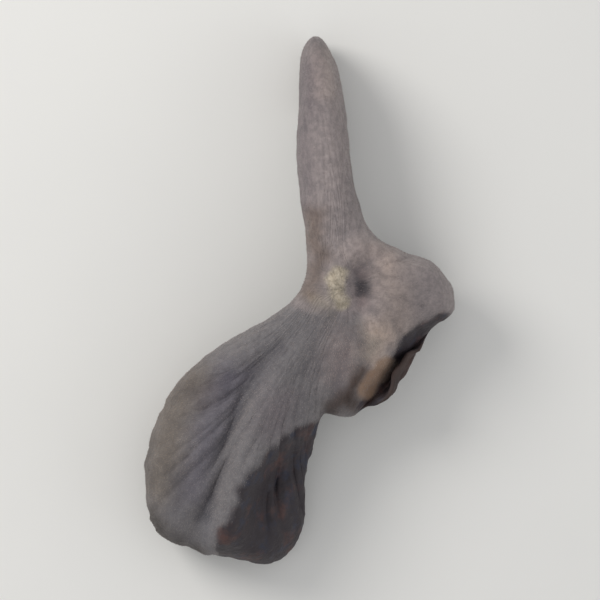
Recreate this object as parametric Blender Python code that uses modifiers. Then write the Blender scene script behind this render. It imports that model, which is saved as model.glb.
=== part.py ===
"""A dried wood ear, one thin leathery fruit body lying on its margins with its velvety side up.

The wall is a single sheet that spreads in all directions from the scar where it grew on the wood.
Ribs run over it from that scar to the shoulder, where the sheet turns down, and on to the free margin.
Its height follows spot heights joined by a smooth surface, with creases and wrinkles pressed into it.
The axes are +X to the right, +Y towards the tip of the finger-shaped lobe and +Z up, in metres.
"""

from collections import namedtuple

import bmesh
import bpy
import numpy as np
from mathutils import Vector, noise

MM = 0.001

# Driving dimensions, in millimetres
WALL = 0.8
FOOT_RADIUS = 0.5
FOOT_FLARE = 1.6
FOOT_RISE = 0.4
FOOT_EVENNESS = 0.5

# The middle of the outline as seen from above, from the middle of the foot
MIDDLE_X = -3.72
MIDDLE_Y = -1.13

# Fineness of the sheet
COLUMNS = 112
RINGS = 20

# A ripple varies round the foot and from there to the margin.
# depth: how far it moves the sheet. count: how fast it varies round the foot.
# run: how fast it varies outwards. part: which part of the noise it reads.
Ripple = namedtuple("Ripple", "depth count run part")

# Wrinkles that run out from the foot, and the waves and nibbles of the margin
WRINKLES = Ripple(0.4, 7.0, 1.3, 0.0)
WAVES = Ripple(2.0, 4.2, 0.5, 4.1)
NIBBLES = Ripple(0.5, 12.0, 0.8, 9.0)

# The room that a wrinkle needs, and how much of the wrinkles the finger is spared
WRINKLE_SPACE = 1.3
FINGER_CALM = 0.75

# Puckers: their depth, their size and which part of the noise they read
PUCKER_DEPTH = 0.6
PUCKER_SIZE = 6.0
PUCKER_PART = 3.7

# How far from the middle of the foot the wrinkles and puckers, and the waves and nibbles, start and are full
WRINKLE_REACH = (3.0, 8.0)
WAVE_REACH = (4.5, 9.0)

# How far up the finger its calm starts and is full
FINGER_REACH = (3.0, 7.0)

# x and y: the shoulder, where the sheet is widest as seen from above, from the middle of the foot.
# z: its height. turn: how far in from there the sheet starts to turn down.
# bow: how far the rib bends to its left on the way.
# tuck: how far the margin turns back in. hem: its height, which is above z where the margin rolls up.
Rib = namedtuple("Rib", "x y z turn bow tuck hem")

RIBS = [
    # the wing, on the right
    Rib(10.9, -1.6, 3.0, 2.6, 0.0, 0.5, -1.2),
    Rib(9.2, 1.9, 5.2, 2.4, 0.2, 0.8, 2.2),
    Rib(5.8, 3.2, 7.2, 2.2, 0.2, 0.8, 4.4),
    # the finger: up its right side, round its tip and down its left side
    Rib(2.6, 5.4, 8.0, 2.0, -0.3, 0.6, 5.4),
    Rib(1.0, 10.2, 7.0, 2.0, -0.1, 0.6, 4.2),
    Rib(0.4, 15.6, 5.8, 2.0, 0.3, 0.6, 2.8),
    Rib(-0.3, 20.2, 4.4, 1.8, 0.4, 0.6, 1.4),
    Rib(-1.3, 23.0, 3.2, 1.8, 0.2, 0.3, 0.2),
    Rib(-2.4, 24.2, 2.8, 1.8, -0.2, 0.3, -0.2),
    Rib(-3.2, 22.2, 3.6, 1.8, -0.5, 0.4, 0.3),
    Rib(-3.4, 18.0, 5.0, 1.8, -0.4, 0.6, 1.6),
    Rib(-3.6, 13.2, 6.4, 2.0, -0.3, 0.6, 3.2),
    Rib(-3.2, 8.4, 7.4, 2.0, -0.1, 0.5, 4.6),
    # the waist
    Rib(-2.7, 3.8, 8.6, 1.8, 0.2, 0.2, 6.6),
    Rib(-3.3, -0.2, 9.0, 1.6, 0.0, 0.0, 7.2),
    # the ear: its round left side, its lower end and its steep right side
    Rib(-6.3, -3.1, 8.2, 1.8, 0.3, 0.3, 5.8),
    Rib(-11.0, -5.8, 6.6, 2.4, 1.1, 0.9, 3.2),
    Rib(-15.0, -9.2, 5.2, 3.0, 1.5, 1.6, 1.0),
    Rib(-17.5, -14.0, 4.4, 3.4, 1.3, 2.0, -0.1),
    Rib(-18.2, -19.2, 4.0, 3.4, 0.8, 2.0, -0.1),
    Rib(-17.0, -23.3, 3.8, 3.0, 0.1, 1.8, 0.0),
    Rib(-13.6, -24.9, 4.2, 2.4, -0.8, 1.2, 0.8),
    Rib(-9.6, -25.7, 4.0, 2.4, -1.8, 0.6, 1.2),
    Rib(-6.0, -26.0, 2.0, 2.6, -2.7, 0.3, -0.1),
    Rib(-3.7, -23.0, 2.0, 2.6, -2.6, 0.1, -0.1),
    Rib(-3.6, -18.4, 3.0, 2.4, -1.3, 0.1, 0.8),
    Rib(-2.6, -14.5, 5.0, 2.0, -0.5, 0.1, 3.0),
    # the apron between the ear and the wing, with the curl that rolls its margin up
    Rib(-1.8, -11.9, 6.6, 1.8, 0.3, 0.1, 4.8),
    Rib(0.8, -12.1, 6.4, 1.6, 0.4, 0.0, 5.0),
    Rib(3.0, -10.7, 6.0, 2.2, 0.5, -0.5, 6.2),
    Rib(4.8, -9.8, 5.6, 2.2, 0.4, -0.1, 6.8),
    Rib(6.3, -7.9, 5.4, 2.2, 0.3, 0.7, 7.6),
    Rib(7.4, -6.0, 5.6, 2.2, 0.2, -0.1, 6.8),
    Rib(8.0, -4.4, 6.0, 2.2, 0.1, -0.5, 6.0),
    Rib(9.4, -3.0, 5.0, 2.0, 0.0, 0.0, 3.0),
]

# Heights of the top, away from its edges: x, y and z
SPOTS = [
    # round the foot
    (0.0, 0.0, 12.0),
    (-2.2, 1.4, 11.9),
    (3.6, 1.0, 11.8),
    # along the finger
    (-0.4, 5.0, 11.8),
    (-1.0, 10.0, 11.2),
    (-1.5, 15.0, 10.5),
    (-1.9, 19.5, 9.4),
    (-2.6, 23.5, 8.2),
    # along the wing
    (6.6, 0.0, 11.0),
    (9.8, -1.2, 9.2),
    # along the left side of the ear
    (-5.6, -3.2, 11.5),
    (-10.2, -8.2, 11.2),
    (-13.6, -14.0, 10.9),
    (-14.6, -20.0, 9.8),
    (-13.0, -24.0, 8.4),
    # along its middle
    (-4.0, -7.0, 11.3),
    (-7.2, -12.6, 11.0),
    (-9.2, -18.0, 10.6),
    (-9.6, -24.0, 9.2),
    # down its right side
    (-3.4, -13.0, 8.6),
    (-5.2, -17.0, 7.0),
    (-5.4, -21.5, 5.6),
    (-6.0, -25.0, 5.6),
    # the apron, and the gutter inside the curl
    (-0.8, -6.4, 10.8),
    (-0.6, -10.6, 9.2),
    (3.2, -5.0, 10.2),
    (2.8, -8.4, 7.8),
    (4.6, -8.6, 4.8),
    (5.8, -6.4, 5.2),
    (6.0, -3.2, 9.2),
    (7.8, -4.4, 6.2),
    (3.0, -10.5, 6.2),
]
SPOT_BLEND = 3.0

# A crease follows a path seen from above. A height below zero is a furrow, and one above it is a ridge.
Crease = namedtuple("Crease", "path width height")

CREASES = [
    # the long furrow of the ear
    Crease(
        [(-5.2, -4.2), (-7.6, -7.8), (-9.6, -11.6), (-10.9, -16.0), (-12.0, -20.4), (-12.8, -24.4)],
        1.5,
        -1.5,
    ),
    # the ridge beside it, and the edge along which the right side of the ear falls away
    Crease([(-3.8, -5.6), (-6.2, -9.0), (-8.2, -12.6), (-9.8, -17.0), (-11.2, -24.0)], 1.1, 0.9),
    Crease(
        [(-2.2, -12.3), (-5.0, -14.1), (-7.5, -16.1), (-8.8, -18.4), (-9.8, -21.0), (-11.0, -24.2)],
        1.2,
        1.3,
    ),
    # the hollow below that edge
    Crease([(-3.0, -15.0), (-4.8, -16.6), (-6.6, -18.4), (-7.6, -20.4), (-8.4, -24.0)], 1.6, -1.8),
    # the dimple beside the foot, and the ridge that runs round it from the scar
    Crease([(1.9, 1.5), (2.1, 0.1), (2.0, -1.3)], 1.4, -1.1),
    Crease(
        [(-1.6, -1.2), (-0.4, 0.4), (0.2, 2.2), (1.4, 3.5), (2.8, 4.2), (4.4, 3.7), (5.7, 1.8)],
        1.1,
        0.9,
    ),
    # the groove between that ridge and the waist
    Crease([(-2.2, 7.2), (-2.0, 4.6), (-1.4, 2.9), (-2.0, 1.0), (-2.7, -0.6)], 0.9, -0.6),
    # the furrow across the wing
    Crease([(8.0, 1.8), (8.1, -0.4), (7.6, -3.0)], 1.2, -0.5),
    # the furrow beside the apron, and the fold that ends in the curl
    Crease([(1.2, -3.0), (1.4, -5.6), (1.9, -8.0), (1.2, -10.2)], 1.1, -0.5),
    Crease([(3.8, -2.6), (4.0, -5.0), (3.7, -7.6)], 1.2, 0.6),
]

# The share of its half wave that a crease lacks at each end, so that it starts and ends with some height
CREASE_END = 0.1

# Where along a rib the foot and the sheet end, from 0 in the middle of the foot to 1 at the margin
FOOT_END = 0.15
SHOULDER = 0.8

# How strongly the points along a rib crowd towards the shoulder
CROWDING = 1.5

# Points nearer than this are one point
WELD = 0.001

# The block below the surface that the fruit body rests on
FLOOR_WIDTH = 80
FLOOR_DEPTH = 10


def clear_scene():
    for obj in list(bpy.data.objects):
        bpy.data.objects.remove(obj, do_unlink=True)


def collection(name):
    made = bpy.data.collections.new(name)
    bpy.context.scene.collection.children.link(made)
    return made


def rise(value, start, end):
    """0 up to start, 1 from end on, and smooth between them."""
    share = np.clip((value - start) / (end - start), 0, 1)
    return share * share * (3 - 2 * share)


def noise_at(points):
    return np.array([noise.noise(Vector(point)) for point in points])


def smooth_path(rows, position, closed):
    """Points at the given positions along the Catmull-Rom curve that passes through each row in turn."""
    count = len(rows)
    if closed:
        start = np.floor(position).astype(int)
        padded = rows[np.arange(-1, count + 3) % count]
    else:
        start = np.clip(np.floor(position).astype(int), 0, count - 2)
        padded = np.concatenate([[2 * rows[0] - rows[1]], rows, [2 * rows[-1] - rows[-2]]])
    share = (position - start)[:, None]
    a, b, c, d = (padded[start + step] for step in range(4))
    bend = a - 2.5 * b + 2 * c - 0.5 * d
    return b + share * ((c - a) / 2 + share * (bend + share * (1.5 * (b - c) + (d - a) / 2)))


def nearest_on_path(points, path):
    """How far each point is from the path, and where along it the nearest place is, counted in corners."""
    nearest = np.full(len(points), np.inf)
    place = np.zeros(len(points))
    for number, (start, step) in enumerate(zip(path, np.diff(path, axis=0))):
        share = np.clip((points - start) @ step / (step @ step), 0, 1)
        distance = np.linalg.norm(points - start - share[:, None] * step, axis=1)
        closer = distance < nearest
        nearest[closer] = distance[closer]
        place[closer] = number + share[closer]
    return nearest, place


def rib_numbers(across):
    """Which rib, and what share of the way to the next, each place round the outline is at."""
    outline = np.array([(rib.x, rib.y) for rib in RIBS + RIBS[:1]])
    length = np.cumsum([0, *np.linalg.norm(np.diff(outline, axis=0), axis=1)])
    return np.interp(across, length / length[-1], np.arange(len(outline)))


def leaving_directions(numbers):
    """The direction in which each rib leaves the foot: its own, turned some way towards even spacing."""
    own = np.unwrap([np.arctan2(rib.y, rib.x) for rib in RIBS])
    even = np.arange(len(RIBS)) * 2 * np.pi / len(RIBS)
    angle = own + FOOT_EVENNESS * (even - own - (even - own).mean())
    angle = smooth_path(np.append(angle, angle[0] + 2 * np.pi)[:, None], numbers, closed=False)[:, 0]
    return np.column_stack([np.cos(angle), np.sin(angle)])


def spot_height(points):
    """The height of the smooth surface through all the spot heights."""
    spots = np.array(SPOTS)

    def blend(places):
        apart = np.linalg.norm(places[:, None] - spots[None, :, :2], axis=2)
        return np.hypot(apart, SPOT_BLEND)

    weights = np.linalg.solve(blend(spots[:, :2]), spots[:, 2] - spots[:, 2].mean())
    return spots[:, 2].mean() + blend(points) @ weights


def crease_height(points, crease):
    """How far one crease moves each point up or down: most along its path, and less towards its ends."""
    corners = np.array(crease.path)
    path = smooth_path(corners, np.linspace(0, len(corners) - 1, 4 * len(corners)), closed=False)
    distance, place = nearest_on_path(points, path)
    fade = np.sin(np.pi * (CREASE_END + (1 - 2 * CREASE_END) * place / (len(path) - 1)))
    return crease.height * fade * np.exp(-((distance / crease.width) ** 2))


def top_height(points, outline, ribs):
    """The height of the sheet inside the shoulder: the top, rounded off towards the shoulder's own height."""
    top = spot_height(points)
    for crease in CREASES:
        top += crease_height(points, crease)
    from_foot = np.linalg.norm(points, axis=1)
    top += FOOT_RISE * (1 - rise(from_foot, FOOT_RADIUS, FOOT_RADIUS + FOOT_FLARE))
    distance, place = nearest_on_path(points, np.concatenate([outline, outline[:1]]))
    around = np.concatenate([ribs, ribs[:1]])
    shoulder, turn = (np.interp(place, np.arange(len(around)), around[:, field]) for field in (2, 3))
    flat = np.clip(distance / turn, 0, 1)
    return shoulder + (top - shoulder) * np.sqrt(1 - (1 - flat) ** 2)


def bare_sheet(across, out):
    """The middle of the sheet before it wrinkles: rows from foot to margin, each once round the foot."""
    numbers = rib_numbers(across)
    ribs = smooth_path(np.array(RIBS), numbers, closed=True)
    outline = ribs[:, :2]
    base = leaving_directions(numbers) * (FOOT_RADIUS + FOOT_FLARE)
    left = np.column_stack([-outline[:, 1], outline[:, 0]]) / np.linalg.norm(outline, axis=1)[:, None]
    along = np.roll(outline, -1, axis=0) - np.roll(outline, 1, axis=0)
    inward = np.column_stack([-along[:, 1], along[:, 0]]) / np.linalg.norm(along, axis=1)[:, None]

    rows = []
    for place in out:
        if place <= FOOT_END:
            flat = base * place / FOOT_END
            height = top_height(flat, outline, ribs)
        elif place <= SHOULDER:
            share = 1 - ((SHOULDER - place) / (SHOULDER - FOOT_END)) ** CROWDING
            bow = left * ribs[:, 4:5] * 4 * share * (1 - share)
            flat = base + (outline - base) * share + bow
            height = top_height(flat, outline, ribs)
        else:
            share = (place - SHOULDER) / (1 - SHOULDER)
            flat = outline + inward * ribs[:, 5:6] * share**2
            height = ribs[:, 2] + (ribs[:, 6] - ribs[:, 2]) * share
        rows.append(np.column_stack([flat, height]))
    return np.array(rows)


def wrinkle_room(sheet):
    """The room for wrinkles at each point: 0 where the ribs crowd together, 1 where they are far apart."""
    across = np.roll(sheet, -1, axis=1) - sheet
    along = np.gradient(sheet, axis=0)
    area = np.linalg.norm(np.cross(across, along), axis=2)
    apart = area / np.maximum(np.linalg.norm(along, axis=2), 1e-6)
    needed = 2 * np.pi * WRINKLES.count * WRINKLE_SPACE / sheet.shape[1]
    return np.clip(apart / needed, 0, 1) ** 2


def wrinkled_sheet(across, out):
    """The middle of the sheet with its wrinkles, puckers, waves and nibbles."""
    sheet = bare_sheet(across, out)
    room = wrinkle_room(sheet).ravel()
    points = sheet.reshape(-1, 3)
    outward = np.repeat(out, len(across))
    turn = np.tile(2 * np.pi * across, len(out))
    ring = np.column_stack([np.cos(turn), np.sin(turn)])
    reach = np.maximum(np.linalg.norm(points[:, :2], axis=1), 1)

    def rippled(ripple):
        return noise_at(np.column_stack([ring * ripple.count, outward * ripple.run + ripple.part]))

    wrinkles = WRINKLES.depth * room * (1 - 3 * np.abs(rippled(WRINKLES)))
    calm = 1 - FINGER_CALM * rise(points[:, 1], *FINGER_REACH)
    puckers = PUCKER_DEPTH * noise_at(points / PUCKER_SIZE + PUCKER_PART)
    edge = rise(outward, 0.5, 1) * rise(reach, *WAVE_REACH)
    points[:, 2] += rise(reach, *WRINKLE_REACH) * (wrinkles * calm + puckers)
    points[:, 2] += edge * WAVES.depth * rippled(WAVES)
    points[:, :2] *= (1 + edge * NIBBLES.depth * rippled(NIBBLES) / reach)[:, None]
    return sheet


def make_sheet(home):
    """The sheet: a grid with its columns laid round the foot and its rows out to the margin."""
    bm = bmesh.new()
    bmesh.ops.create_grid(bm, x_segments=COLUMNS, y_segments=RINGS, size=0.5)
    sheet = wrinkled_sheet(np.arange(COLUMNS) / COLUMNS, np.arange(RINGS + 1) / RINGS)
    for vert in bm.verts:
        column = round((vert.co.x + 0.5) * COLUMNS) % COLUMNS
        row = round((vert.co.y + 0.5) * RINGS)
        vert.co = (Vector(sheet[row, column]) - Vector((MIDDLE_X, MIDDLE_Y, 0))) * MM
    bmesh.ops.remove_doubles(bm, verts=bm.verts, dist=WELD * MM)
    bmesh.ops.recalc_face_normals(bm, faces=bm.faces)
    mesh = bpy.data.meshes.new("fruit_body")
    bm.to_mesh(mesh)
    bm.free()
    mesh.shade_smooth()
    obj = bpy.data.objects.new("fruit_body", mesh)
    home.objects.link(obj)
    return obj


def give_wall(obj):
    wall = obj.modifiers.new("wall", "SOLIDIFY")
    wall.thickness = WALL * MM
    wall.offset = 0


def floor_cutter(home):
    """A block whose top is the surface that the fruit body rests on."""
    bm = bmesh.new()
    bmesh.ops.create_cube(bm, size=1)
    bmesh.ops.scale(bm, verts=bm.verts, vec=Vector((FLOOR_WIDTH, FLOOR_WIDTH, FLOOR_DEPTH)) * MM)
    bmesh.ops.translate(bm, verts=bm.verts, vec=Vector((0, 0, -FLOOR_DEPTH / 2)) * MM)
    mesh = bpy.data.meshes.new("floor")
    bm.to_mesh(mesh)
    bm.free()
    obj = bpy.data.objects.new("floor", mesh)
    obj.hide_render = True
    obj.display_type = "WIRE"
    home.objects.link(obj)
    return obj


def rest_on(obj, floor):
    """Flattens the margin where it lies on the surface."""
    cut = obj.modifiers.new("rest", "BOOLEAN")
    cut.operation = "DIFFERENCE"
    cut.solver = "EXACT"
    cut.object = floor


def dried_skin():
    skin = bpy.data.materials.new("dried skin")
    skin.use_nodes = True
    shader = skin.node_tree.nodes["Principled BSDF"]
    shader.inputs["Base Color"].default_value = (0.1, 0.085, 0.082, 1)
    shader.inputs["Roughness"].default_value = 0.75
    return skin


def main():
    clear_scene()
    fruit_body = make_sheet(collection("wood_ear"))
    give_wall(fruit_body)
    rest_on(fruit_body, floor_cutter(collection("cutters")))
    fruit_body.data.materials.append(dried_skin())


main()
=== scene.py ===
"""A dried wood ear that lies on its margins with its velvety side up.

The operators make the fruit body, the velvet on its outer side, the torn fibres of its scar and the stage.
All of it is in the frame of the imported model: metres, +Z up, +Y towards the tip of the finger-shaped lobe.
"""

from collections import namedtuple

import bmesh
import bpy
import numpy as np
from bpy.props import FloatProperty, FloatVectorProperty, IntProperty, PointerProperty
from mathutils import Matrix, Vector, kdtree, noise


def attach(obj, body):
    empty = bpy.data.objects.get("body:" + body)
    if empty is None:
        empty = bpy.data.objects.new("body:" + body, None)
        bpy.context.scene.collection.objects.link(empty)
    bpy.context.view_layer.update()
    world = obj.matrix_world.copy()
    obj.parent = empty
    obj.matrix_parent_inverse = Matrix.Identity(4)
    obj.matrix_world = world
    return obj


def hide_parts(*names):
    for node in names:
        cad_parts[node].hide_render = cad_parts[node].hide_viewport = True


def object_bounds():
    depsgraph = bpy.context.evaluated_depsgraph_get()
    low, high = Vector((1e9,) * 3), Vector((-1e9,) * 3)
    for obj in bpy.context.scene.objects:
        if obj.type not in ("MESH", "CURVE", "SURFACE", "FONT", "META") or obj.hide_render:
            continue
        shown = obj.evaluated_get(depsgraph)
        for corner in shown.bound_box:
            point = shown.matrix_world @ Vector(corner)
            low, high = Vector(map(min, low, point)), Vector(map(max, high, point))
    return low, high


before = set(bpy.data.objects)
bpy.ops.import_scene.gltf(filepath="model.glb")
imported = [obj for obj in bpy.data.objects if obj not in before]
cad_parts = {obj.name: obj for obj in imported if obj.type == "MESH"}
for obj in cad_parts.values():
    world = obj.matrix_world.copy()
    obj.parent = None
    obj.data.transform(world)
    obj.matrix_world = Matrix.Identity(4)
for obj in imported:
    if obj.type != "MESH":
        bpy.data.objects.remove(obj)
CAD_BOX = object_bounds()

bl_info = {
    "name": "Dried wood ear",
    "version": (1, 0, 0),
    "blender": (4, 5, 0),
    "location": "3D View > Sidebar > Wood ear",
    "description": "Makes a dried wood ear with its velvet, its scar and a plain stage",
    "category": "Object",
}

MM = 0.001

# ---------------------------------------------------------------- the sheet, in millimetres from the foot

# The middle of the outline as seen from above, which is over the model's origin
MIDDLE = np.array([-3.72, -1.13])

# The foot: its radius, how far it flares beyond that, how high it stands and how evenly the ribs leave it
FOOT_RADIUS = 0.5
FOOT_FLARE = 1.6
FOOT_RISE = 0.4
FOOT_EVENNESS = 0.5

# Where the foot's disc and the top end, as shares of the way from the foot to the margin
FOOT_END = 0.15
SHOULDER = 0.8

# How much of the wrinkles' height the finger lacks, and how widely each spot height is rounded off
FINGER_CALM = 0.75
SPOT_BLEND = 3.0

# x and y: the shoulder, where the sheet is widest as seen from above. z: its height.
# turn: how far in from there the sheet starts to turn down.
# bow: how far the rib bends to its left on the way.
# tuck: how far the margin turns back in. hem: its height, which is above z where the margin rolls up.
Rib = namedtuple("Rib", "x y z turn bow tuck hem")

RIBS = [
    # the wing, on the right
    Rib(10.9, -1.6, 3.0, 2.6, 0.0, 0.5, -1.2),
    Rib(9.2, 1.9, 5.2, 2.4, 0.2, 0.8, 2.2),
    Rib(5.8, 3.2, 7.2, 2.2, 0.2, 0.8, 4.4),
    # the finger: up its right side, round its tip and down its left side
    Rib(2.6, 5.4, 8.0, 2.0, -0.3, 0.6, 5.4),
    Rib(1.0, 10.2, 7.0, 2.0, -0.1, 0.6, 4.2),
    Rib(0.4, 15.6, 5.8, 2.0, 0.3, 0.6, 2.8),
    Rib(-0.3, 20.2, 4.4, 1.8, 0.4, 0.6, 1.4),
    Rib(-1.3, 23.0, 3.2, 1.8, 0.2, 0.3, 0.2),
    Rib(-2.4, 24.2, 2.8, 1.8, -0.2, 0.3, -0.2),
    Rib(-3.2, 22.2, 3.6, 1.8, -0.5, 0.4, 0.3),
    Rib(-3.4, 18.0, 5.0, 1.8, -0.4, 0.6, 1.6),
    Rib(-3.6, 13.2, 6.4, 2.0, -0.3, 0.6, 3.2),
    Rib(-3.2, 8.4, 7.4, 2.0, -0.1, 0.5, 4.6),
    # the waist
    Rib(-2.7, 3.8, 8.6, 1.8, 0.2, 0.2, 6.6),
    Rib(-3.3, -0.2, 9.0, 1.6, 0.0, 0.0, 7.2),
    # the ear: its round left side, its lower end and its steep right side
    Rib(-6.3, -3.1, 8.2, 1.8, 0.3, 0.3, 5.8),
    Rib(-11.0, -5.8, 6.6, 2.4, 1.1, 0.9, 3.2),
    Rib(-15.0, -9.2, 5.2, 3.0, 1.5, 1.6, 1.0),
    Rib(-17.5, -14.0, 4.4, 3.4, 1.3, 2.0, -0.1),
    Rib(-18.2, -19.2, 4.0, 3.4, 0.8, 2.0, -0.1),
    Rib(-17.0, -23.3, 3.8, 3.0, 0.1, 1.8, 0.0),
    Rib(-13.6, -24.9, 4.2, 2.4, -0.8, 1.2, 0.8),
    Rib(-9.6, -25.7, 4.0, 2.4, -1.8, 0.6, 1.2),
    Rib(-6.0, -26.0, 2.0, 2.6, -2.7, 0.3, -0.1),
    Rib(-3.7, -23.0, 2.0, 2.6, -2.6, 0.1, -0.1),
    Rib(-3.6, -18.4, 3.0, 2.4, -1.3, 0.1, 0.8),
    Rib(-2.6, -14.5, 5.0, 2.0, -0.5, 0.1, 3.0),
    # the apron between the ear and the wing, with the curl that rolls its margin up
    Rib(-1.8, -11.9, 6.6, 1.8, 0.3, 0.1, 4.8),
    Rib(0.8, -12.1, 6.4, 1.6, 0.4, 0.0, 5.0),
    Rib(3.0, -10.7, 6.0, 2.2, 0.5, -0.5, 6.2),
    Rib(4.8, -9.8, 5.6, 2.2, 0.4, -0.1, 6.8),
    Rib(6.3, -7.9, 5.4, 2.2, 0.3, 0.7, 7.6),
    Rib(7.4, -6.0, 5.6, 2.2, 0.2, -0.1, 6.8),
    Rib(8.0, -4.4, 6.0, 2.2, 0.1, -0.5, 6.0),
    Rib(9.4, -3.0, 5.0, 2.0, 0.0, 0.0, 3.0),
]

# Heights of the top, away from its edges: x, y and z
SPOTS = [
    # round the foot
    (0.0, 0.0, 12.0),
    (-2.2, 1.4, 11.9),
    (3.6, 1.0, 11.8),
    # along the finger
    (-0.4, 5.0, 11.8),
    (-1.0, 10.0, 11.2),
    (-1.5, 15.0, 10.5),
    (-1.9, 19.5, 9.4),
    (-2.6, 23.5, 8.2),
    # along the wing
    (6.6, 0.0, 11.0),
    (9.8, -1.2, 9.2),
    # along the left side of the ear
    (-5.6, -3.2, 11.5),
    (-10.2, -8.2, 11.2),
    (-13.6, -14.0, 10.9),
    (-14.6, -20.0, 9.8),
    (-13.0, -24.0, 8.4),
    # along its middle
    (-4.0, -7.0, 11.3),
    (-7.2, -12.6, 11.0),
    (-9.2, -18.0, 10.6),
    (-9.6, -24.0, 9.2),
    # down its right side
    (-3.4, -13.0, 8.6),
    (-5.2, -17.0, 7.0),
    (-5.4, -21.5, 5.6),
    (-6.0, -25.0, 5.6),
    # the apron, and the gutter inside the curl
    (-0.8, -6.4, 10.8),
    (-0.6, -10.6, 9.2),
    (3.2, -5.0, 10.2),
    (2.8, -8.4, 7.8),
    (4.6, -8.6, 4.8),
    (5.8, -6.4, 5.2),
    (6.0, -3.2, 9.2),
    (7.8, -4.4, 6.2),
    (3.0, -10.5, 6.2),
]

# A crease follows a path seen from above. A height below zero is a furrow, and one above it is a ridge.
Crease = namedtuple("Crease", "path width height")

CREASES = [
    # the long furrow of the ear
    Crease(
        [(-5.2, -4.2), (-7.6, -7.8), (-9.6, -11.6), (-10.9, -16.0), (-12.0, -20.4), (-12.8, -24.4)],
        width=1.5,
        height=-1.5,
    ),
    # the ridge beside it, and the edge along which the right side of the ear falls away
    Crease([(-3.8, -5.6), (-6.2, -9.0), (-8.2, -12.6), (-9.8, -17.0), (-11.2, -24.0)], 1.1, 0.9),
    Crease(
        [(-2.2, -12.3), (-5.0, -14.1), (-7.5, -16.1), (-8.8, -18.4), (-9.8, -21.0), (-11.0, -24.2)],
        width=1.2,
        height=1.3,
    ),
    # the hollow below that edge
    Crease([(-3.0, -15.0), (-4.8, -16.6), (-6.6, -18.4), (-7.6, -20.4), (-8.4, -24.0)], 1.6, -1.8),
    # the dimple beside the foot, and the ridge that runs round it from the scar
    Crease([(1.9, 1.5), (2.1, 0.1), (2.0, -1.3)], 1.4, -1.1),
    Crease([(-1.6, -1.2), (-0.4, 0.4), (0.2, 2.2), (1.4, 3.5), (2.8, 4.2), (4.4, 3.7), (5.7, 1.8)], 1.1, 0.9),
    # the groove between that ridge and the waist
    Crease([(-2.2, 7.2), (-2.0, 4.6), (-1.4, 2.9), (-2.0, 1.0), (-2.7, -0.6)], 0.9, -0.6),
    # the furrow across the wing
    Crease([(8.0, 1.8), (8.1, -0.4), (7.6, -3.0)], 1.2, -0.5),
    # the furrow beside the apron, and the fold that ends in the curl
    Crease([(1.2, -3.0), (1.4, -5.6), (1.9, -8.0), (1.2, -10.2)], 1.1, -0.5),
    Crease([(3.8, -2.6), (4.0, -5.0), (3.7, -7.6)], 1.2, 0.6),
]

# Where the skin changes its finish, as seen from above. The bare flank's dark colour is partly painted shade
# on the steep side.
BARE_SHADED_FLANK = [
    (-2.0, -12.2), (-4.2, -13.0), (-5.7, -14.1), (-7.0, -15.3), (-7.9, -16.5), (-8.8, -17.7),
    (-9.7, -19.0), (-9.9, -20.4), (-10.3, -21.5), (-11.2, -22.7), (-11.7, -24.2), (-12.0, -29.0),
    (0.0, -29.0),
]
PALE = [
    (-8.0, 30.0), (-8.0, -1.0), (-4.7, -1.8), (-1.6, -2.0), (1.8, -2.5), (3.4, -5.0),
    (2.4, -7.7), (4.0, -12.0), (14.0, -8.0), (14.0, 8.0), (4.0, 30.0),
]
CURL_PATH = [(4.3, -7.1), (3.0, -8.6), (2.4, -9.7)]
# The lip takes the bare flank's dark colour: bare turned-under skin, and a painted shadow along the wing's
# lower edge.
LIP_PATH = [(10.0, -3.4), (8.2, -4.2), (6.6, -5.5), (6.2, -6.7), (5.6, -8.4), (4.3, -10.0), (3.0, -11.4)]
SCAR_PATH = [(0.0, 1.5), (-0.4, 0.7), (-0.3, -0.5), (0.2, -1.4)]

# A wash tints the outer side along a path seen from above. The tint multiplies red, green and blue. Most
# washes are painted light or painted shade, as marked below.
Wash = namedtuple("Wash", "path width tint")

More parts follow.
